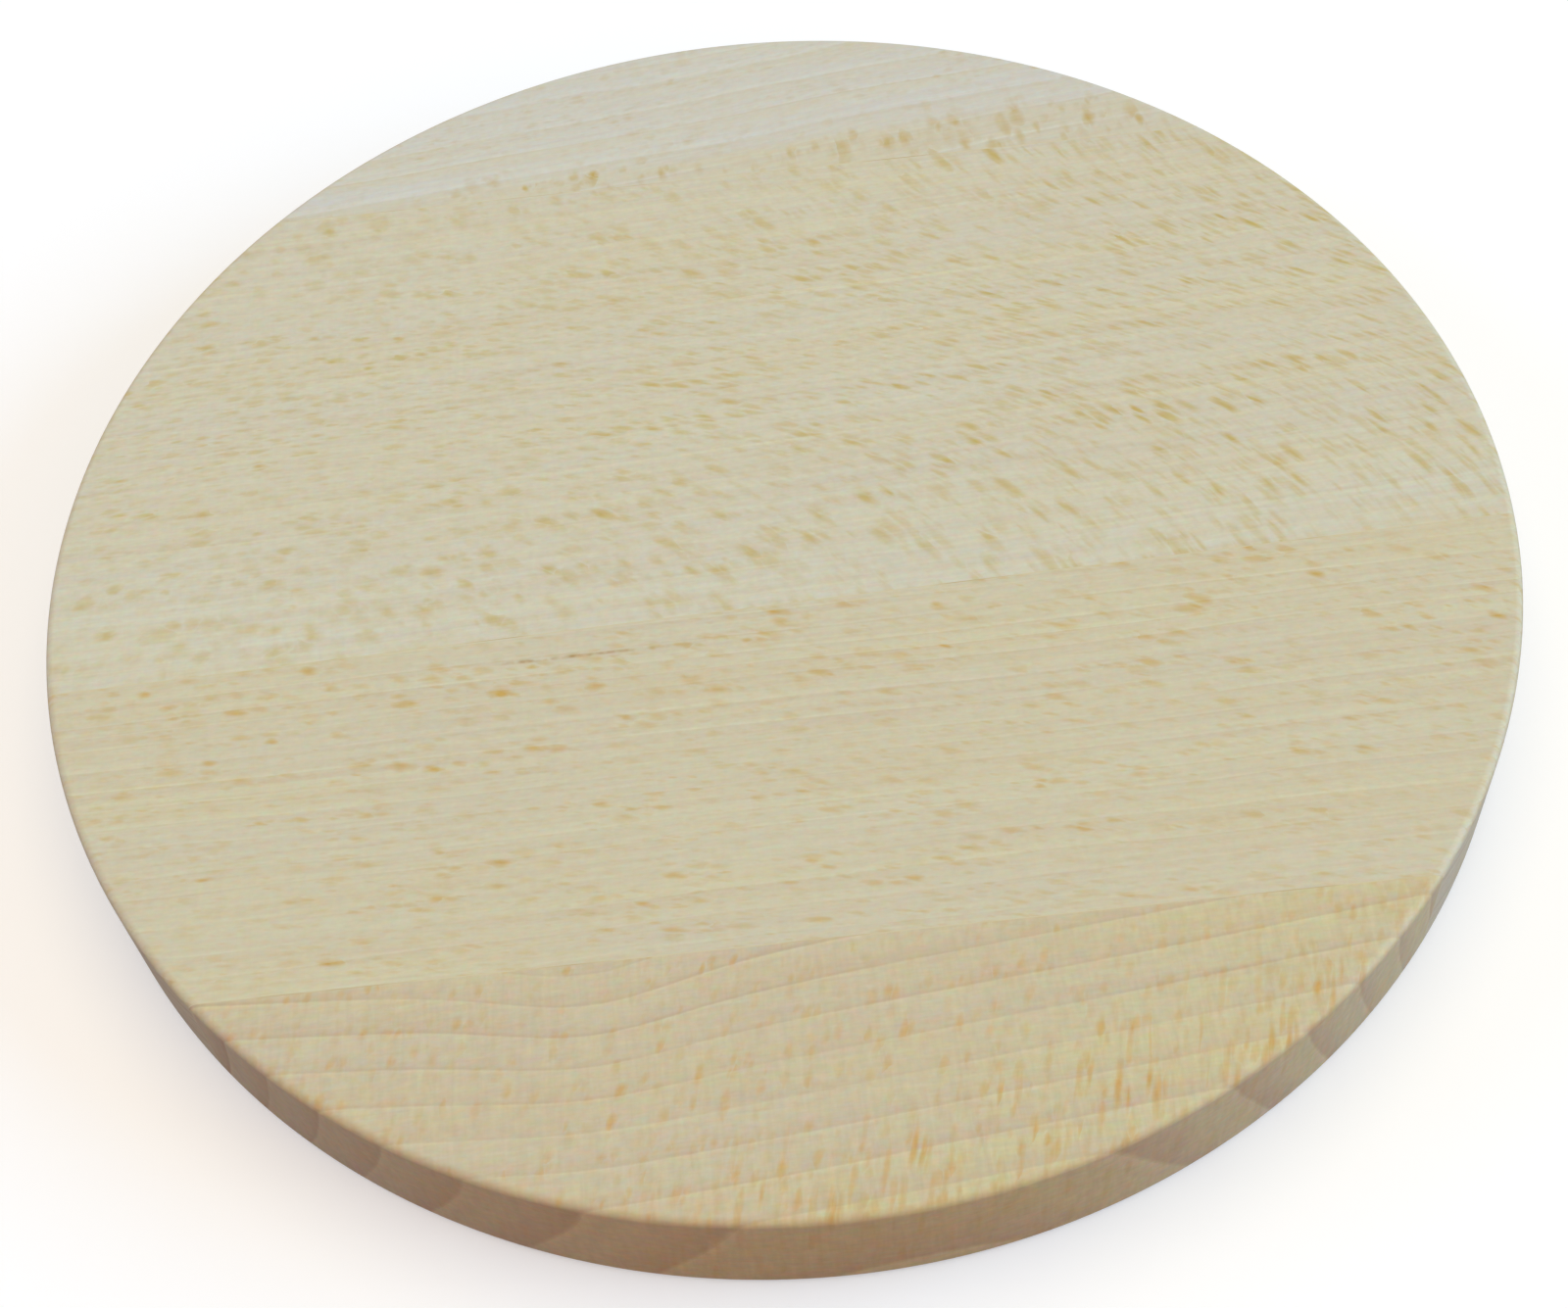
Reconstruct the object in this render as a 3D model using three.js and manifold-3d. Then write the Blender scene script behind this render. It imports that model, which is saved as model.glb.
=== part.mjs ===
// Round beech cutting board: a panel of four edge-glued staves, turned to a disc with eased edges.
// Millimetres, +Z up. The origin is the centre of the underside. The grain runs along X, and the
// staves follow each other from the back (+Y) to the front (-Y), with a film of glue in each joint.

import * as THREE from 'three';
import { mergeVertices } from 'three/addons/utils/BufferGeometryUtils.js';
import Module from 'manifold-3d';

// Driving dimensions
const BOARD_DIAMETER = 250;
const BOARD_THICKNESS = 22.5;
const ARRIS_RADIUS = 1.5;            // rounding of the rim's upper and lower edge
const WIDE_STAVE_WIDTH = 103;        // from glue line to glue line, at the board's centre
const MIDDLE_STAVE_WIDTH = 63.5;     // from glue line to glue line, at the board's centre
const CENTRE_TO_MIDDLE_JOINT = 16.4; // the centre lies in the wide stave, this far behind the joint
const MIDDLE_JOINT_SKEW_DEG = 1.4;   // this edge was ripped a little out of parallel
const GLUE_THICKNESS = 0.15;         // cured film in each joint

// Fineness of the facets
const RIM_SEGMENTS = 180;            // a multiple of 4, so that the rim reaches its full size on X and Y
const ARRIS_DIVISIONS = 2;           // an arc gets two facets for each division

// Finish of each piece
const PALE_BEECH = { color: '#cdc1a0', roughness: 0.72, metalness: 0 };
const CREAM_BEECH = { color: '#cbbd97', roughness: 0.72, metalness: 0 };
const STRAW_BEECH = { color: '#c9b98f', roughness: 0.72, metalness: 0 };
const ROSY_BEECH = { color: '#c0aa84', roughness: 0.72, metalness: 0 };
const CURED_GLUE = { color: '#a58a5f', roughness: 0.5, metalness: 0 };

// Places worked out from the driving dimensions
const boardRadius = BOARD_DIAMETER / 2;
const middleSkew = THREE.MathUtils.degToRad(MIDDLE_JOINT_SKEW_DEG);
const middleJointY = -CENTRE_TO_MIDDLE_JOINT;
const backJointY = middleJointY + WIDE_STAVE_WIDTH + GLUE_THICKNESS;
const frontJointY = middleJointY - MIDDLE_STAVE_WIDTH - GLUE_THICKNESS;

// Each joint with the stave behind it, from the back of the board to the front
const joints = [
  { film: 'back_glue_line', y: backJointY, skew: 0, stave: 'back_stave', wood: PALE_BEECH },
  { film: 'middle_glue_line', y: middleJointY, skew: middleSkew, stave: 'wide_stave', wood: CREAM_BEECH },
  { film: 'front_glue_line', y: frontJointY, skew: 0, stave: 'middle_stave', wood: STRAW_BEECH },
];

const wasm = await Module();
wasm.setup();

// A closed geometry as a solid that can be cut
function solidOf(geometry) {
  const bare = geometry.clone();
  bare.deleteAttribute('normal');
  bare.deleteAttribute('uv');
  const merged = mergeVertices(bare);
  const vertProperties = new Float32Array(merged.attributes.position.array);
  const triVerts = new Uint32Array(merged.index.array);
  return new wasm.Manifold(new wasm.Mesh({ numProp: 3, vertProperties, triVerts }));
}

// A cut solid as a named piece of the board
function pieceOf(solid, name, finish) {
  const cut = solid.getMesh();
  const geometry = new THREE.BufferGeometry();
  geometry.setAttribute('position', new THREE.BufferAttribute(cut.vertProperties, cut.numProp));
  geometry.setIndex(new THREE.BufferAttribute(cut.triVerts, 1));
  geometry.computeVertexNormals();
  const piece = new THREE.Mesh(geometry, new THREE.MeshStandardMaterial(finish));
  piece.name = name;
  return piece;
}

// The whole board as one turned disc: flat faces, upright rim, both edges eased
function turnedDisc() {
  const arrisCentre = boardRadius - ARRIS_RADIUS;
  const profile = new THREE.Path();
  profile.moveTo(0, 0);
  profile.lineTo(arrisCentre, 0);
  profile.absarc(arrisCentre, ARRIS_RADIUS, ARRIS_RADIUS, -Math.PI / 2, 0, false);
  profile.lineTo(boardRadius, BOARD_THICKNESS - ARRIS_RADIUS);
  profile.absarc(arrisCentre, BOARD_THICKNESS - ARRIS_RADIUS, ARRIS_RADIUS, 0, Math.PI / 2, false);
  profile.lineTo(0, BOARD_THICKNESS);
  const points = profile.getPoints(ARRIS_DIVISIONS);
  return new THREE.LatheGeometry(points, RIM_SEGMENTS).rotateX(Math.PI / 2);
}

// Everything behind a joint's plane, moved back or forward by shift across the joint
function spaceBehind(joint, shift) {
  const reach = 2 * (BOARD_DIAMETER + BOARD_THICKNESS);
  return new THREE.BoxGeometry(reach, reach, reach)
    .translate(0, reach / 2 + shift, 0)
    .rotateZ(joint.skew)
    .translate(0, joint.y, 0);
}

// The disc is parted joint by joint: first the stave behind the glue, then the film of glue itself
const board = new THREE.Group();
let remainder = solidOf(turnedDisc());
for (const joint of joints) {
  const behindGlue = solidOf(spaceBehind(joint, GLUE_THICKNESS / 2));
  const glueAndBehind = solidOf(spaceBehind(joint, -GLUE_THICKNESS / 2));
  board.add(pieceOf(remainder.intersect(behindGlue), joint.stave, joint.wood));
  board.add(pieceOf(remainder.intersect(glueAndBehind).subtract(behindGlue), joint.film, CURED_GLUE));
  remainder = remainder.subtract(glueAndBehind);
}
board.add(pieceOf(remainder, 'front_stave', ROSY_BEECH));

export default board;
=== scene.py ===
# Round beech cutting board: four edge-glued staves and the glue between them, on a pale floor.
# Metres, +Z up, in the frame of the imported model: the origin is the centre of the underside and
# the grain runs along X. Grain sizes are given in millimetres, as a joiner would measure them.

import math

import bmesh
import bpy
from mathutils import Matrix, Vector


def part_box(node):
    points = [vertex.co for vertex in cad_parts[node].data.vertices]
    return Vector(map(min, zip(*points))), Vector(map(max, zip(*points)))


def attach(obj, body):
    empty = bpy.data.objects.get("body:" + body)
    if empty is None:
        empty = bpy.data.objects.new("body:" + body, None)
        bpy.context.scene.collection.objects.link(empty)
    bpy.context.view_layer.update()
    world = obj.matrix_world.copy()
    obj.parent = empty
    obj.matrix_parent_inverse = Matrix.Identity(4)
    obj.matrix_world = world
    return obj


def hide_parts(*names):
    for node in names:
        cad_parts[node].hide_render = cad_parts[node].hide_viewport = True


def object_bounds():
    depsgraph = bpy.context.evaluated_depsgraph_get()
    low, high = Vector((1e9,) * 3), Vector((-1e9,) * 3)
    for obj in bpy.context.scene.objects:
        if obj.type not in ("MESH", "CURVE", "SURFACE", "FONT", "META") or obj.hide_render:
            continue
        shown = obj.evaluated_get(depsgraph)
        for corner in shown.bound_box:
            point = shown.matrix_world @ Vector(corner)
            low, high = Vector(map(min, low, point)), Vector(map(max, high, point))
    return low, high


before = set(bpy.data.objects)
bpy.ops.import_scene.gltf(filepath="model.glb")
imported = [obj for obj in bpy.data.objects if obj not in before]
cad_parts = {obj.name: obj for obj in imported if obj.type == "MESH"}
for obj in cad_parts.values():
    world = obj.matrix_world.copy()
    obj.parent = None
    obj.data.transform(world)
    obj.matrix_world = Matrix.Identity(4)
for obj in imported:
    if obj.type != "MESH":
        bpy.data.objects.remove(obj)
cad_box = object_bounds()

# Sizes taken from the frame
MM = 0.001
low, high = cad_box
board_radius = (high.x - low.x) / 2
board_thickness = high.z - low.z
film_low, film_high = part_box("back_glue_line")
film_thickness = film_high.y - film_low.y

# Sizes that the frame's boxes don't show
ARRIS_RADIUS = 1.5 * MM
MIDDLE_JOINT_SKEW = math.radians(1.4)

# Fineness of the meshes
RIM_STEP = math.radians(1.0)
ARRIS_STEPS = 8
SHARP_ANGLE = math.radians(40)


# Geometry of the staves and the glue lines

def joint_edges(film, skew):
    """The back and front edge of a glue line as (distance from the centre, skew) pairs."""
    box_low, box_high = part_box(film)
    half = film_thickness / 2
    distance = (box_low.y + box_high.y) / 2 / math.cos(skew)
    return (distance + half, skew), (distance - half, skew)


def rim_profile():
    """Radius and height of the rim from the underside up, with both edges eased by an arc."""
    centre = board_radius - ARRIS_RADIUS
    turns = [math.pi / 2 * step / ARRIS_STEPS for step in range(ARRIS_STEPS + 1)]
    lower = [(centre + ARRIS_RADIUS * math.sin(t), ARRIS_RADIUS * (1 - math.cos(t))) for t in turns]
    upper = [(radius, board_thickness - height) for radius, height in reversed(lower)]
    return lower + upper


def crossings(edge, radius):
    """The angles at which a straight edge crosses a circle: at its right end, then at its left end."""
    distance, skew = edge
    reach = math.acos(distance / radius)
    return skew + math.pi / 2 - reach, skew + math.pi / 2 + reach


def arcs(front, back, radius):
    """The arcs of rim that a piece has, each from its first to its last angle, counter-clockwise."""
    if front is None:
        right, left = crossings(back, radius)
        return [(left, right + 2 * math.pi)]
    if back is None:
        return [crossings(front, radius)]
    front_right, front_left = crossings(front, radius)
    back_right, back_left = crossings(back, radius)
    return [(front_right, back_right), (back_left, front_left)]


def outline(front, back, radius):
    """A slice of a circle between two joints, or from one joint to the rim, counter-clockwise."""
    points = []
    widest_arcs = arcs(front, back, board_radius)
    for (start, end), (widest_start, widest_end) in zip(arcs(front, back, radius), widest_arcs):
        steps = max(1, round((widest_end - widest_start) / RIM_STEP))
        for step in range(steps + 1):
            angle = start + (end - start) * step / steps
            points.append((radius * math.cos(angle), radius * math.sin(angle)))
    return points


def slice_of_board(node, front, back, material):
    """One piece of the board between two joints, made of outlines stacked from the underside up."""
    shape = bmesh.new()
    rings = []
    for radius, height in rim_profile():
        rings.append([shape.verts.new((x, y, height)) for x, y in outline(front, back, radius)])
    for below, above in zip(rings, rings[1:]):
        for here in range(len(below)):
            after = (here + 1) % len(below)
            shape.faces.new((below[here], below[after], above[after], above[here]))
    shape.faces.new(list(reversed(rings[0])))
    shape.faces.new(rings[-1])
    for face in shape.faces:
        face.smooth = True
    mesh = bpy.data.meshes.new(f"dressed_{node}")
    shape.to_mesh(mesh)
    shape.free()
    mesh.set_sharp_from_angle(angle=SHARP_ANGLE)
    mesh.materials.append(material)
    piece = bpy.data.objects.new(f"dressed_{node}", mesh)
    bpy.context.collection.objects.link(piece)
    evened = piece.modifiers.new("even_normals", "WEIGHTED_NORMAL")
    evened.keep_sharp = True
    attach(piece, "root")
    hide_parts(node)


# Nodes of the materials

SMOOTH = {"interpolation_type": "SMOOTHSTEP"}
SHARE, UNDER, OVER, BLENDED = 0, 6, 7, 2   # places of a colour mix's inputs and of its output
HALF = (0.5, 0.5, 0.5)
ONE = (1.0, 1.0, 1.0)
WHITE = "#ffffff"


def linear(code):
    """An sRGB hex colour as linear red, green, blue and alpha."""
    parts = [int(code[place:place + 2], 16) / 255 for place in (1, 3, 5)]
    return tuple(c / 12.92 if c <= 0.04045 else ((c + 0.055) / 1.055) ** 2.4 for c in parts) + (1.0,)


def add(tree, kind, inputs=(), out=0, **settings):
    """Adds a node, makes its settings, sets or links its inputs, and gives back one of its outputs."""
    node = tree.nodes.new("ShaderNode" + kind)
    for name, value in settings.items():
        setattr(node, name, value)
    pairs = inputs.items() if isinstance(inputs, dict) else enumerate(inputs)
    for place, value in pairs:
        if isinstance(value, bpy.types.NodeSocket):
            tree.links.new(value, node.inputs[place])
        else:
            node.inputs[place].default_value = value
    return node.outputs[out] if node.outputs else None


def product(tree, value, *others, clamp=False):
    """A value multiplied by the others, one after another."""
    for other in others:
        value = add(tree, "Math", (value, other), operation="MULTIPLY", use_clamp=clamp)
    return value


def between(tree, share, ends):
    """The value that lies at a share of the way from the first end to the second."""
    return add(tree, "MapRange", (share, 0.0, 1.0) + ends)


def mix(tree, share, under, over, how="MIX"):
    """One colour laid over another by a share; how as MULTIPLY makes the upper one a tint."""
    under, over = (linear(colour) if isinstance(colour, str) else colour for colour in (under, over))
    inputs = {SHARE: share, UNDER: under, OVER: over}
    return add(tree, "Mix", inputs, BLENDED, data_type="RGBA", blend_type=how)


def spread(tree, place, size, seed=0.0):
    """Place scaled so that one step of a pattern is as long, wide and deep as size says."""
    steps = tuple(1 / length for length in size)
    return add(tree, "VectorMath", (place, steps, (seed,) * 3), operation="MULTIPLY_ADD")


def noise(tree, place, size, seed=0.0, out=0, detail=2.0, roughness=0.5):
    """Soft random spots of a given size; out as Color gives three of them in one."""
    inputs = {"Vector": spread(tree, place, size, seed), "Scale": 1.0, "Detail": detail,
              "Roughness": roughness}
    return add(tree, "TexNoise", inputs, out)


def new_material(name):
    material = bpy.data.materials.new(name)
    material.use_nodes = True
    material.node_tree.nodes.clear()
    return material, material.node_tree


def sanded(tree, colour, roughness, refraction, relief, strength, depth):
    """The surface that sanding leaves: matt, with a shallow relief whose depth is in metres."""
    bump = add(tree, "Bump", {"Strength": strength, "Distance": depth, "Height": relief})
    surface = add(tree, "BsdfPrincipled", {"Base Color": colour, "Roughness": roughness,
                                           "IOR": refraction, "Normal": bump})
    add(tree, "OutputMaterial", {"Surface": surface})


# Patterns in the wood, with their sizes in mm along the grain, across it and down

BEND_SIZE = (90.0, 30.0, 30.0)     # how far apart the grain's slow bends are
BREAK_SIZE = (45.0, 12.0, 12.0)    # stretches in which a ring line is strong or faint
PATCH_SIZE = (35.0, 6.0, 6.0)      # patches with more or fewer flecks
BAND_SIZE = (80.0, 9.0, 9.0)       # warmer and cooler bands along the grain
ROW_SIZE = (90.0, 1.1, 1.1)        # thin greener and rosier lines along the grain
CLOUD_SIZE = (2.4, 0.9, 0.9)       # small warm and cool clouds
FIBRE_SIZE = (5.0, 0.5, 0.5)       # bundles of fibres; single ones are too fine to show
SILK_SIZE = (0.9, 7.0, 7.0)        # stripes of thin rays; single ones are too fine to show
GLUE_PATCH_SIZE = (16.0, 16.0, 5.0)   # stretches of a joint with more or less glue

# Between which values of its noise a pattern goes from one end to the other
MOST_OF_NOISE = (0.3, 0.7)
BREAK_RANGE = (0.35, 0.65)
PATCH_RANGE = (0.33, 0.63)
FIBRE_RANGE = (0.25, 0.75)
GUM_RANGE = (0.35, 0.6)
THICK_GLUE_RANGE = (0.5, 0.7)

# A year of growth runs from 0 to 1
LINE_FROM = 0.84               # the dark line at its end begins
TURN_FROM = 0.95               # the deep wood and the line begin to end
LATE_FULL = 0.98               # the wood would be deepest
PALE_UNTIL = 0.16              # the pale start is over
UNEVEN_STEPS = 0.45            # changes between wide and narrow rings, per year
YEAR_STRENGTH = (0.4, 1.0)     # of the faintest and of the strongest year
LINE_STRENGTH = (0.25, 1.0)    # of a ring line where it is faintest and strongest
LINE_SHARE = (1.0, 0.35)       # of a ring line before and after the side to which it fades
START_SHARE = (1.0, 1.8)       # of the pale start on the faces and on the rim

# Flecks, in shares of a fleck's usual size
RAGGED_STEPS = 1.7             # bends in the edge of a fleck
FLECK_RADII = (0.6, 1.2)       # the smallest and the largest fleck
FLECK_EDGE = (1.1, 0.15)       # where a fleck begins and where it is full, in shares of its radius
FLECK_SHARE = (1.0, 0.3)       # of the flecks on the faces and on the rim
SMALL_FLECK_SEED = 7           # keeps small flecks from following the large ones

# The streak of gum, in mm
GUM_COLOUR = "#9c7636"
GUM_START = 4.0                # length over which it comes in
GUM_STRONG = 8.0               # how far from its left end it begins to fade
GUM_BREAKS = 0.35              # breaks in it, per mm

# Tints, as factors of red, green and blue or as colours that the wood is multiplied by
FIBRE_SHADE = (0.97, 1.03)
ROW_TINT = (0.08, 0.19, 0.17)
PORE_TINT = (0.19, 0.17, 0.23)
RIM_MOTTLE = 1.3               # how much more the pores show on the rim than on the faces
COOL_BAND, WARM_BAND = "#fdfdff", "#fffdf6"
WARM_CLOUD, COOL_CLOUD = "#fff9f0", "#fcfeff"
# Partly the sawn rim's own tone and partly painted shade: the rim is made a little darker and pinker than
# the faces
RIM_TONE_AND_PAINTED_SHADE = "#fdf4f1"
# Painted highlight: the eased edges are tinted yellower, standing in for the bright line that light draws
# along them
EDGE_PAINTED_HIGHLIGHT = "#fffaf0"

# How far up or down the surface faces, from 0 on the rim to 1 on the faces
RIM_RANGE = (0.9, 0.1)
ARRIS_COMES_IN = (0.0, 0.5)
ARRIS_GOES_OUT = (1.0, 0.8)

# Surfaces: the first roughness is that of the plain wood or of thin glue
WOOD_ROUGHNESS = (0.68, 0.58)
WOOD_REFRACTION = 1.5
WOOD_RELIEF_STRENGTH = 0.25
WOOD_RELIEF_DEPTH = 0.06 * MM
FLECK_RELIEF = -0.4
GLUE_ROUGHNESS = (0.55, 0.45)
GLUE_REFRACTION = 1.46
GLUE_RELIEF_STRENGTH = 0.2
GLUE_RELIEF_DEPTH = 0.05 * MM
THIN_GLUE, THICK_GLUE = "#c8bd98", "#b09a70"


def place_in_tree(tree, stave):
    """Place in mm, turned so that the rings run along X, and bent a little as grain is."""
    metres = add(tree, "TexCoord", out="Object")
    turned = add(tree, "Mapping", {"Vector": metres, "Scale": (1 / MM,) * 3,
                                   "Rotation": (0, 0, -math.radians(stave["rise"]))})
    wave = noise(tree, turned, BEND_SIZE, stave["seed"], "Color")
    wave = add(tree, "VectorMath", (wave, HALF), operation="SUBTRACT")
    bend = stave["bend"]
    return add(tree, "VectorMath", (wave, (0.0, bend, bend), turned), operation="MULTIPLY_ADD")


def side_of(tree, place, side):
    """From 0 to 1 across a stave, in a direction given in degrees and between two distances."""
    direction, nearer, further = side
    turn = math.radians(direction)
    pointer = (math.cos(turn), math.sin(turn), 0.0)
    reach = add(tree, "VectorMath", (place, pointer), 1, operation="DOT_PRODUCT")
    return add(tree, "MapRange", (reach, nearer, further), **SMOOTH)


def rim_and_arris(tree):
    """How far a spot belongs to the rim, and how far to an eased edge, from the way it faces."""
    normal = add(tree, "NewGeometry", out="Normal")
    flat = add(tree, "SeparateXYZ", (normal,), 2)
    flat = add(tree, "Math", (flat,), operation="ABSOLUTE")
    rim = add(tree, "MapRange", (flat,) + RIM_RANGE, **SMOOTH)
    comes_in = add(tree, "MapRange", (flat,) + ARRIS_COMES_IN, **SMOOTH)
    goes_out = add(tree, "MapRange", (flat,) + ARRIS_GOES_OUT, **SMOOTH)
    return rim, product(tree, comes_in, goes_out)


def dip_in_rings(tree, dip, along, across):
    """Rings that swing to the front as they pass a branch: gently far off, and most near the joint."""
    from_apex = add(tree, "Math", (along, dip["apex"]), operation="SUBTRACT")
    squared = product(tree, from_apex, from_apex)
    reach = add(tree, "Math", (squared, dip["bend"] ** 2), operation="ADD")
    reach = add(tree, "Math", (reach,), operation="SQRT")
    slope = -math.tan(math.radians(dip["slope"]))
    across = add(tree, "Math", (reach, slope, across), operation="MULTIPLY_ADD")
    near = product(tree, squared, -1 / dip["width"] ** 2)
    near = add(tree, "Math", (near,), operation="EXPONENT")
    depth = add(tree, "MapRange", (across, dip["fades_at"], dip["starts_at"], 0.0, dip["depth"]))
    return add(tree, "Math", (near, depth, across), operation="MULTIPLY_ADD")


def growth_rings(tree, stave, place):
    """Years counted out from the pith: wood that deepens, a dark line at its end, then a pale start."""
    along = add(tree, "SeparateXYZ", (place,))
    across, up = along.node.outputs[1], along.node.outputs[2]
    if "dip" in stave:
        across = dip_in_rings(tree, stave["dip"], along, across)
    section = add(tree, "CombineXYZ", (0.0, across, up))
    outward = add(tree, "VectorMath", (section, (0.0,) + stave["pith"]), 1, operation="DISTANCE")
    years = (outward, 1 / stave["ring_width"], stave["phase"])
    years = add(tree, "Math", years, operation="MULTIPLY_ADD")
    uneven = {"W": years, "Scale": UNEVEN_STEPS, "Detail": 1.0}
    uneven = add(tree, "TexNoise", uneven, noise_dimensions="1D")
    years = add(tree, "Math", (uneven, stave["uneven"], years), operation="MULTIPLY_ADD")
    season = add(tree, "Math", (years,), operation="FRACT")
    year = add(tree, "Math", (years,), operation="FLOOR")
    chance = add(tree, "TexWhiteNoise", {"W": year}, noise_dimensions="1D")
    strength = between(tree, chance, YEAR_STRENGTH)
    late = add(tree, "MapRange", (season, stave["late_from"], LATE_FULL), **SMOOTH)
    late_end = add(tree, "MapRange", (season, TURN_FROM, 1.0, 1.0, 0.0), **SMOOTH)
    late = product(tree, late, strength, late_end)

    # The lines at the turn of the year come and go along the grain
    broken = noise(tree, place, BREAK_SIZE)
    broken = add(tree, "MapRange", (broken,) + BREAK_RANGE + LINE_STRENGTH)
    broken = product(tree, broken, strength)
    line = add(tree, "MapRange", (season, LINE_FROM, TURN_FROM), **SMOOTH)
    line = product(tree, line, late_end, broken)
    start = add(tree, "MapRange", (season, PALE_UNTIL, 0.0), **SMOOTH)
    start = product(tree, start, broken)
    return outward, season, late, line, start


def cut_rays(tree, stave, place, outward, size, seed):
    """Rays are thin ribbons that run out from the pith; where the face cuts them they show as flecks."""
    along = add(tree, "SeparateXYZ", (place,))
    across, up = along.node.outputs[1], along.node.outputs[2]
    upright, depth = stave["upright"]
    aside = add(tree, "Math", (across, upright), operation="SUBTRACT")
    deep = add(tree, "Math", (up, board_thickness / MM - depth), operation="SUBTRACT")
    round_pith = add(tree, "Math", (aside, deep), operation="ARCTAN2")
    slant, flat_at = stave["sweep"]
    swept = add(tree, "Math", (along, flat_at), operation="SUBTRACT")
    swept = product(tree, swept, swept, slant / 2)
    tangent = add(tree, "Math", (round_pith, abs(depth), swept), operation="MULTIPLY_ADD")
    leaning = add(tree, "Math", (outward, stave["lean"], along), operation="MULTIPLY_ADD")
    spot = add(tree, "CombineXYZ", (leaning, tangent, outward))
    cell = spread(tree, spot, size, seed)
    ragged = add(tree, "TexNoise", {"Vector": cell, "Scale": RAGGED_STEPS, "Detail": 1.0}, "Color")
    ragged = add(tree, "VectorMath", (ragged, HALF), operation="SUBTRACT")
    cell = add(tree, "VectorMath", (ragged, HALF, cell), operation="MULTIPLY_ADD")
    near = add(tree, "TexVoronoi", {"Vector": cell, "Scale": 1.0}, "Distance")
    chance = add(tree, "SeparateColor", (near.node.outputs["Color"],))
    radii = tuple(share * stave["fleck_radius"] for share in FLECK_RADII)
    radius = between(tree, chance.node.outputs[1], radii)
    blot = add(tree, "Math", (near, radius), operation="DIVIDE")
    blot = add(tree, "MapRange", (blot,) + FLECK_EDGE, **SMOOTH)
    strength = add(tree, "MapRange", (chance, stave["missing"], 1.0))
    return product(tree, blot, strength)


def ray_flecks(tree, stave, place, outward, season, side, rim):
    """Large and small flecks: more in some patches, fewer as a year starts, and few on the rim."""
    large = cut_rays(tree, stave, place, outward, stave["ray"], stave["seed"])
    large = product(tree, large, between(tree, side, stave["bold"]))
    small_seed = stave["seed"] + SMALL_FLECK_SEED
    small = cut_rays(tree, stave, place, outward, stave["small_ray"], small_seed)
    fine = between(tree, side, stave["fine"])
    flecks = add(tree, "Math", (small, fine, large), operation="MULTIPLY_ADD")
    patch = noise(tree, place, PATCH_SIZE)
    patch = add(tree, "MapRange", (patch,) + PATCH_RANGE + stave["patchy"])
    rows = add(tree, "MapRange", (season,) + stave["rows"], **SMOOTH)
    least = between(tree, side, stave["even"])
    rows = add(tree, "Math", (rows, least), operation="MAXIMUM")
    plain = between(tree, rim, FLECK_SHARE)
    return product(tree, flecks, patch, rows, plain, clamp=True)


def gum_streak(tree, gum, place):
    """One thin brown line along the grain, where the tree healed over a wound."""
    along = add(tree, "SeparateXYZ", (place,))
    aside = add(tree, "Math", (along.node.outputs[1], gum["level"]), operation="SUBTRACT")
    aside = add(tree, "Math", (aside,), operation="ABSOLUTE")
    line = add(tree, "MapRange", (aside, gum["half_width"], 0.0), **SMOOTH)
    start = add(tree, "MapRange", (along, gum["left"], gum["left"] + GUM_START), **SMOOTH)
    fade = add(tree, "MapRange", (along, gum["right"], gum["left"] + GUM_STRONG))
    broken = add(tree, "TexNoise", {"Vector": place, "Scale": GUM_BREAKS, "Detail": 2.0})
    broken = add(tree, "MapRange", (broken,) + GUM_RANGE)
    return product(tree, line, start, fade, broken)


def wood_tints(tree, stave, place, fibre, side, rim):
    """Tints all over: fibres and silk are lighter and darker, the others warmer and cooler."""
    silk = noise(tree, place, SILK_SIZE, roughness=0.6)
    silk = add(tree, "MapRange", (silk,) + MOST_OF_NOISE + (-1.0, 1.0))
    sheen = between(tree, side, stave["silk"])
    shade = add(tree, "MapRange", (fibre,) + FIBRE_RANGE + FIBRE_SHADE)
    shade = add(tree, "Math", (silk, sheen, shade), operation="MULTIPLY_ADD")
    shade = add(tree, "CombineColor", (shade, shade, shade))

    band = noise(tree, place, BAND_SIZE)
    band = add(tree, "MapRange", (band,) + MOST_OF_NOISE)
    band = mix(tree, band, COOL_BAND, WARM_BAND)

    row = noise(tree, place, ROW_SIZE)
    row = add(tree, "Math", (row, 0.5), operation="SUBTRACT")
    row_tint = tuple(stave["row"] * share for share in ROW_TINT)
    row = add(tree, "VectorMath", (row, row_tint, ONE), operation="MULTIPLY_ADD")

    cloud = noise(tree, place, CLOUD_SIZE, roughness=0.7)
    cloud = add(tree, "MapRange", (cloud,) + MOST_OF_NOISE)
    cloud = mix(tree, cloud, WARM_CLOUD, COOL_CLOUD)

    pores = noise(tree, place, stave["pores"], out="Color", roughness=0.7)
    pores = add(tree, "VectorMath", (pores, HALF), operation="SUBTRACT")
    mottle = between(tree, rim, (stave["mottle"], RIM_MOTTLE * stave["mottle"]))
    pores = add(tree, "VectorMath", {0: pores, "Scale": mottle}, operation="SCALE")
    pores = add(tree, "VectorMath", (pores, PORE_TINT, ONE), operation="MULTIPLY_ADD")
    return shade, band, row, cloud, pores


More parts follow.
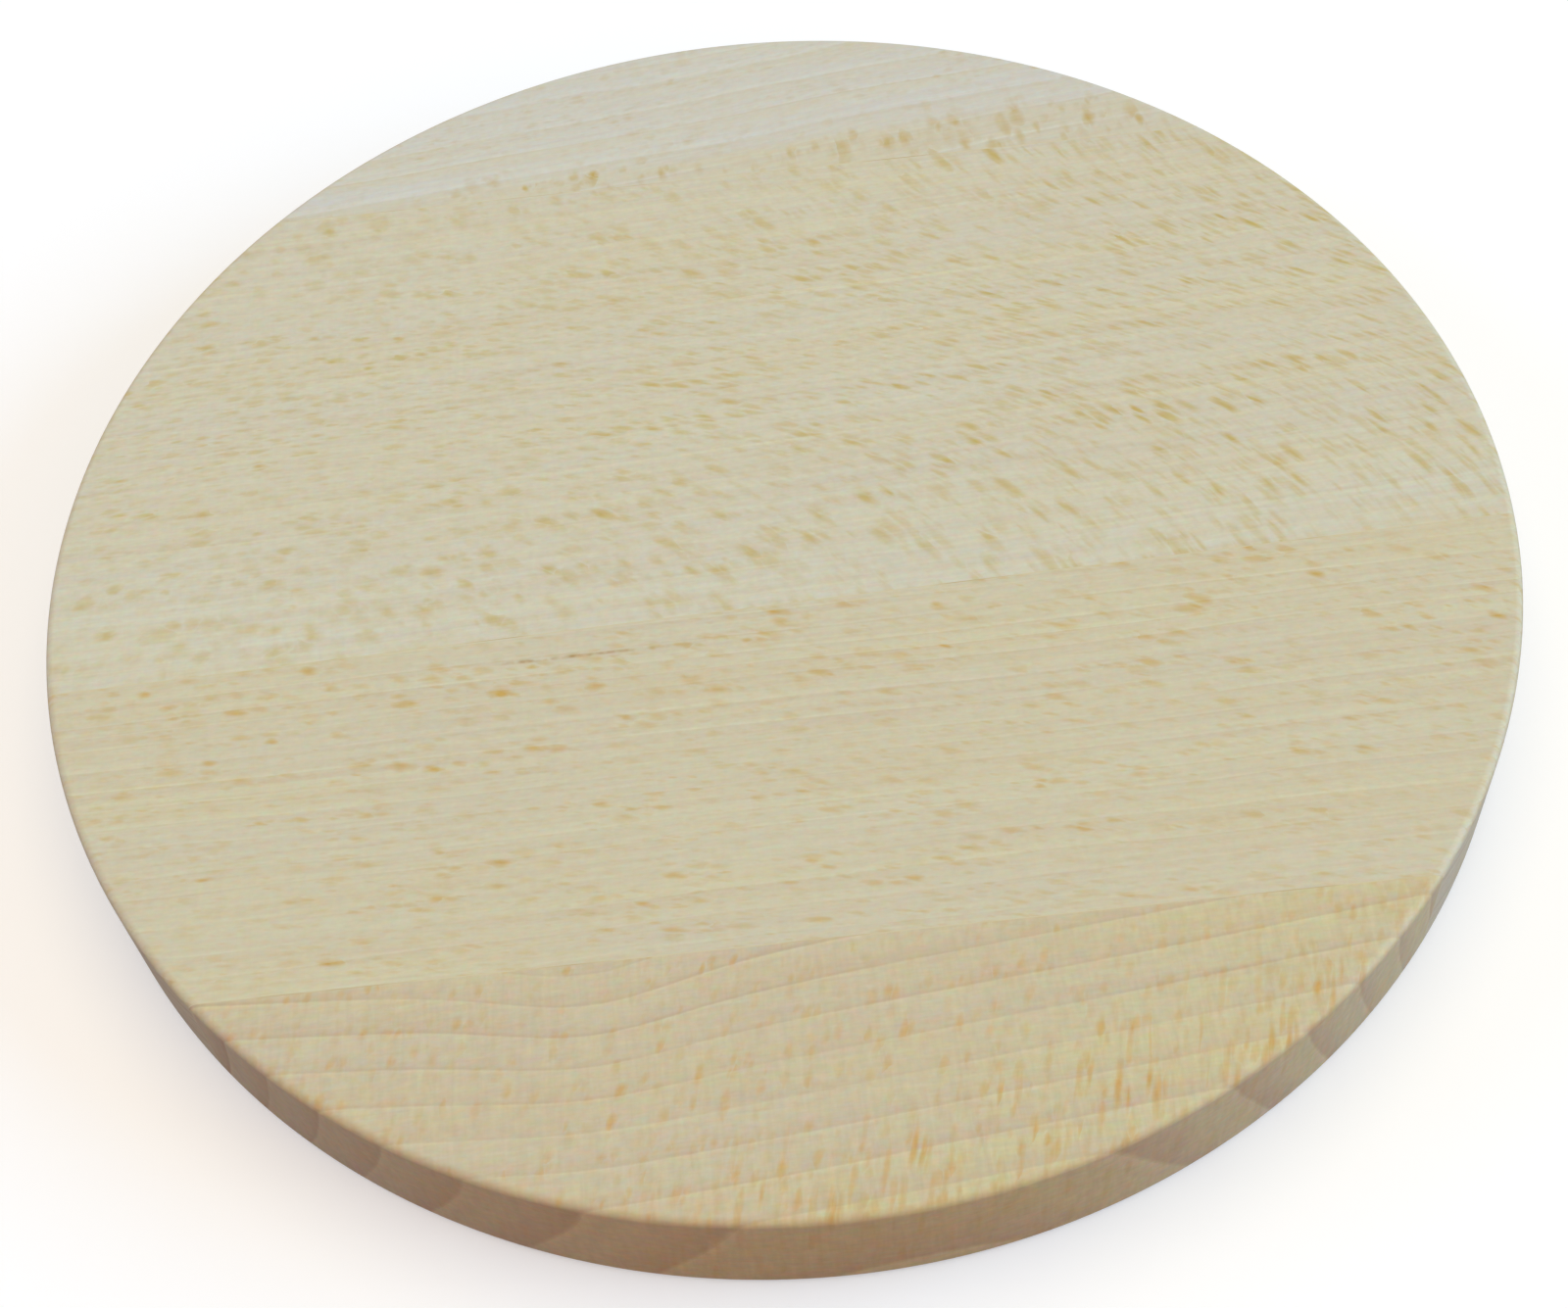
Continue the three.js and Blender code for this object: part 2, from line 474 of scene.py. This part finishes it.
def beech(stave):
    """Beech, sanded and unoiled: pale and matt, with faint growth rings and golden ray flecks."""
    material, tree = new_material(stave["name"])
    place = place_in_tree(tree, stave)
    rim, arris = rim_and_arris(tree)
    side = side_of(tree, place, stave["fleck_side"])
    fibre = noise(tree, place, FIBRE_SIZE, detail=3.0, roughness=0.6)
    outward, season, late, line, start = growth_rings(tree, stave, place)
    flecks = ray_flecks(tree, stave, place, outward, season, side, rim)

    # The lines fade towards one side of a stave; on the rim the pale start of a year shows most
    fade = side_of(tree, place, stave["fade_side"])
    line = product(tree, line, between(tree, fade, LINE_SHARE))
    start = product(tree, start, between(tree, rim, START_SHARE), clamp=True)

    # Colours, from the plain wood to the flecks and the gum
    tone = side_of(tree, place, stave["tone_side"])
    colour = mix(tree, tone, stave["early"], stave["other"])
    for share, part in ((late, "late"), (line, "line"), (start, "start"), (flecks, "fleck")):
        colour = mix(tree, share, colour, stave[part])
    if "gum" in stave:
        colour = mix(tree, gum_streak(tree, stave["gum"], place), colour, GUM_COLOUR)

    # On the rim the rings stand out more, because it is cut across the fibres
    bands = mix(tree, product(tree, late, rim), WHITE, stave["rim_band"])
    for tint in wood_tints(tree, stave, place, fibre, side, rim) + (bands,):
        colour = mix(tree, 1.0, colour, tint, "MULTIPLY")
    # Tints by the way the surface faces: on the rim a darker, pinker tone that is partly its own and
    # partly painted shade, on the eased edges a yellower painted highlight
    for share, tint in ((rim, RIM_TONE_AND_PAINTED_SHADE), (arris, EDGE_PAINTED_HIGHLIGHT)):
        colour = mix(tree, share, colour, tint, "MULTIPLY")

    # Sanding leaves flecks a little smoother and lower than the wood, and polishes the eased edges
    relief = add(tree, "Math", (flecks, FLECK_RELIEF, fibre), operation="MULTIPLY_ADD")
    smooth = add(tree, "Math", (flecks, arris), operation="MAXIMUM")
    roughness = between(tree, smooth, WOOD_ROUGHNESS)
    sanded(tree, colour, roughness, WOOD_REFRACTION, relief, WOOD_RELIEF_STRENGTH, WOOD_RELIEF_DEPTH)
    return material


def cured_glue():
    """Wood glue, cured and sanded flush: near the wood's tone, with darker dashes where it lies thick."""
    material, tree = new_material("wood_glue_sanded")
    metres = add(tree, "TexCoord", out="Object")
    place = add(tree, "VectorMath", (metres, (1 / MM,) * 3), operation="MULTIPLY")
    patches = noise(tree, place, GLUE_PATCH_SIZE, detail=3.0)
    thick = add(tree, "MapRange", (patches,) + THICK_GLUE_RANGE)
    colour = mix(tree, thick, THIN_GLUE, THICK_GLUE)
    roughness = add(tree, "MapRange", (patches,) + MOST_OF_NOISE + GLUE_ROUGHNESS)
    sanded(tree, colour, roughness, GLUE_REFRACTION, patches, GLUE_RELIEF_STRENGTH, GLUE_RELIEF_DEPTH)
    return material


# The wood of each stave: places and sizes in mm from the centre of the underside, angles in degrees,
# the rest in shares of 1. A side is a direction and the two distances between which the wood changes.

# What the words of a stave mean
# seed: picks its random patterns; rise: turn of its rings on the face; bend: reach of its slow bends
# pith: centre of the tree, across the board and up; ring_width: a year; phase: where the count begins
# uneven: how much the years differ; late_from: part of the year from which the wood deepens
# early, other: the wood before and after tone_side; start, late, line: parts of a year
# bold, fine: large and small flecks before and after fleck_side; even: least share outside their rows
# patchy: flecks in the poorest and the richest patch; rows: part of the year in which flecks come in
# upright: the line that rays turn about, across the board and down from the face, above it if below 0
# ray, small_ray: size of a ray along the grain, round the pith and out from it
# fleck_radius: a fleck's radius in shares of its ray; missing: share of rays without one, none if below 0
# sweep: slant that flecks gain per mm along the grain, and the place where they have none
# lean: how far a ray leans along the grain per mm outwards
# silk: stripes of thin rays before and after fleck_side; mottle, pores: strength and size of pore spots
# row: strength of the thin lines; rim_band: tint of deep wood on the rim
# fade_side: the side towards which the ring lines fade; dip: the swing of the rings as they pass a branch

NOWHERE = (0, 200, 300)   # a side that lies outside the board

PLAIN_BEECH = dict(
    phase=0.0, rows=(0.0, 0.45), fade_side=NOWHERE, sweep=(0.0, 0.0), lean=0.0,
    silk=(0.01, 0.01), pores=(1.6, 1.0, 1.0), rim_band="#f0ebe6")

# Pale and cool, warmer and with most of its flecks in a strip along its joint
BACK_STRIP = (-92.6, -95.0, -91.5)
BACK = dict(
    PLAIN_BEECH, name="beech_sanded_back", seed=1.3, rise=6.5, bend=5.0,
    pith=(20, -60), ring_width=4.6, uneven=1.2, late_from=0.1,
    early="#c8c8bf", other="#c8c3ac", tone_side=BACK_STRIP,
    start="#cecec4", late="#c7c3b2", line="#c4c0ad", fleck="#b79f5c",
    fleck_side=BACK_STRIP, bold=(0.3, 1.1), fine=(0.2, 0.5), even=(1.0, 1.0), patchy=(0.35, 1.2),
    upright=(110, 12), ray=(3.2, 1.4, 12.0), small_ray=(2.3, 0.8, 7.0),
    fleck_radius=0.55, missing=0.1, mottle=1.0, row=0.8)

# Creamy, with many flecks that swing from along the grain to steep
WIDE = dict(
    PLAIN_BEECH, name="beech_sanded_wide", seed=2.6, rise=1.8, bend=3.0,
    pith=(130, -50), ring_width=5.6, uneven=0.7, late_from=0.2,
    early="#c9c4ae", other="#cac7b3", tone_side=(-90, -12, 6),
    start="#cecab0", late="#c8c3ad", line="#c8c3ad", fleck="#baa662",
    fleck_side=(0, -70, 60), bold=(0.7, 0.9), fine=(0.42, 0.45), even=(0.7, 0.7), patchy=(0.6, 1.15),
    upright=(38, 32), ray=(5.0, 1.45, 12.0), small_ray=(3.2, 0.9, 7.0), sweep=(0.0031, -95.0),
    fleck_radius=0.56, missing=-0.45, silk=(0.012, 0.012), mottle=1.3, row=1.15)

# Warm, with narrow straight rings, thin flecks and one streak of gum
MIDDLE_SIDE = (90, -40, -20)
MIDDLE = dict(
    PLAIN_BEECH, name="beech_sanded_middle", seed=3.9, rise=0.4, bend=2.5,
    pith=(-140, -110), ring_width=2.3, uneven=1.2, late_from=0.2,
    early="#c8c2a7", other="#c8c2a7", tone_side=MIDDLE_SIDE,
    start="#cdc8af", late="#c7bfa5", line="#c4bca0", fleck="#be9e50",
    fleck_side=MIDDLE_SIDE, bold=(0.62, 0.88), fine=(0.4, 0.5), even=(0.65, 0.65), patchy=(0.45, 1.2),
    upright=(-140, 130), ray=(5.3, 1.4, 14.0), small_ray=(3.4, 0.75, 7.0), sweep=(0.00085, -150.0),
    fleck_radius=0.48, missing=-0.3, mottle=1.2, row=1.3,
    gum=dict(left=-49.0, right=-12.0, level=-22.5, half_width=0.6))

# Rosy, with wide rings that dip to the front and golden dashes along the front edge
FRONT = dict(
    PLAIN_BEECH, name="beech_sanded_front", seed=5.2, rise=1.0, bend=1.5,
    pith=(60, 45), ring_width=5.9, phase=0.24, uneven=0.05, late_from=0.3,
    early="#c4ba9d", other="#c5bd98", tone_side=(-60, 85, 115),
    start="#ccc2a2", late="#bfb197", line="#b7a68c", fleck="#c29b52",
    rim_band="#f7f2ee", fade_side=(-90, 90, 108), rows=(0.2, 0.85),
    fleck_side=(-74, 97, 119), bold=(0.15, 1.0), fine=(0.75, 0.6), even=(0.5, 1.0), patchy=(0.75, 1.1),
    upright=(-39, -8), ray=(1.5, 0.8, 9.0), small_ray=(1.7, 1.1, 3.2), lean=0.28,
    fleck_radius=0.58, missing=-0.1, silk=(0.035, 0.05), mottle=1.7, pores=(2.2, 1.4, 1.4), row=0.7,
    dip=dict(apex=-36.8, bend=8.0, slope=5.0, width=17.0, depth=4.5, starts_at=-80.0, fades_at=-107.0))

# The board, from the back to the front
back_film = joint_edges("back_glue_line", 0.0)
middle_film = joint_edges("middle_glue_line", MIDDLE_JOINT_SKEW)
front_film = joint_edges("front_glue_line", 0.0)
glue = cured_glue()
slice_of_board("back_stave", back_film[0], None, beech(BACK))
slice_of_board("back_glue_line", back_film[1], back_film[0], glue)
slice_of_board("wide_stave", middle_film[0], back_film[1], beech(WIDE))
slice_of_board("middle_glue_line", middle_film[1], middle_film[0], glue)
slice_of_board("middle_stave", front_film[0], middle_film[1], beech(MIDDLE))
slice_of_board("front_glue_line", front_film[1], front_film[0], glue)
slice_of_board("front_stave", None, front_film[1], beech(FRONT))

# Floor
FLOOR_SIZE = 20.0
FLOOR_GLOW = 0.3
FLOOR_SEEN = "#dcdcdc"
FLOOR_BOUNCE = "#8c715f"


def pale_floor():
    """Matt white card: the camera sees it white, and it throws a little warm light back on the rim."""
    material, tree = new_material("matt_card")
    seen = add(tree, "LightPath", out="Is Camera Ray")
    surface = add(tree, "BsdfDiffuse", {"Color": mix(tree, seen, FLOOR_BOUNCE, FLOOR_SEEN)})
    glow = add(tree, "Emission", {"Color": linear(WHITE), "Strength": FLOOR_GLOW})
    nothing = add(tree, "Emission", {"Strength": 0.0})
    lift = add(tree, "MixShader", (seen, nothing, glow))
    both = add(tree, "AddShader", (surface, lift))
    add(tree, "OutputMaterial", {"Surface": both})
    return material


bpy.ops.mesh.primitive_plane_add(size=FLOOR_SIZE)
floor = bpy.context.object
floor.name = "floor"
floor.data.materials.append(pale_floor())

# Light: an even room, seen as white, with soft lamps
WORLD_LIGHT = 0.46
world = bpy.data.worlds.new("studio")
bpy.context.scene.world = world
world.use_nodes = True
sky = world.node_tree
sky.nodes.clear()
path = add(sky, "LightPath", out="Is Camera Ray")
shown = path
for ray_kind in ("Is Glossy Ray", "Is Transmission Ray"):
    shown = add(sky, "Math", (shown, path.node.outputs[ray_kind]), operation="MAXIMUM")
brightness = between(sky, shown, (WORLD_LIGHT, 1.0))
room = add(sky, "Background", {"Color": linear(WHITE), "Strength": brightness})
add(sky, "OutputWorld", {"Surface": room})


def lamp(name, azimuth, elevation, strength, colour, breadth):
    """A broad soft light far away, given in degrees by where it stands and how broad it looks."""
    data = bpy.data.lights.new(name, "SUN")
    data.energy = strength
    data.angle = math.radians(breadth)
    data.color = linear(colour)[:3]
    stand = bpy.data.objects.new(name, data)
    bpy.context.collection.objects.link(stand)
    side, up = math.radians(azimuth), math.radians(elevation)
    towards = Vector((math.cos(up) * math.cos(side), math.cos(up) * math.sin(side), math.sin(up)))
    stand.rotation_euler = towards.to_track_quat("Z", "Y").to_euler()


lamp("overhead", azimuth=70, elevation=82, strength=1.28, colour="#ffe9b6", breadth=60)
lamp("window", azimuth=356, elevation=12, strength=3.8, colour="#86c8ff", breadth=50)
lamp("cool_fill", azimuth=170, elevation=10, strength=1.6, colour="#8eb4ff", breadth=60)
lamp("warm_wall", azimuth=305, elevation=10, strength=0.8, colour="#ffac58", breadth=60)

# The camera stands in front of the board and looks down at it, tipped a little to one side
LENS = 54.74
SENSOR_WIDTH = 36.0
ELEVATION = math.radians(54.71)
ROLL = math.radians(-6.30)
AZIMUTH = math.radians(0.4)
STAND = Vector((-0.0037, -2.0281, 2.5644))   # from the centre of the upper face, in radii of the board
NEAREST, FURTHEST = 0.01, 100.0              # what the camera can see, in metres
forward = Vector((0, math.cos(ELEVATION), -math.sin(ELEVATION)))
level_right = Vector((1, 0, 0))
level_down = forward.cross(level_right)
right = level_right * math.cos(ROLL) - level_down * math.sin(ROLL)
down = level_right * math.sin(ROLL) + level_down * math.cos(ROLL)
turn = Matrix.Rotation(AZIMUTH, 3, "Z")
axes = Matrix((turn @ right, turn @ -down, turn @ -forward)).transposed()
camera_place = turn @ STAND * board_radius + Vector((0, 0, board_thickness))
eye = bpy.data.cameras.new("camera")
eye.lens = LENS
eye.sensor_width = SENSOR_WIDTH
eye.clip_start = NEAREST
eye.clip_end = FURTHEST
camera = bpy.data.objects.new("camera", eye)
bpy.context.collection.objects.link(camera)
camera.matrix_world = Matrix.Translation(camera_place) @ axes.to_4x4()
bpy.context.scene.camera = camera
bpy.context.scene.view_settings.view_transform = "Standard"
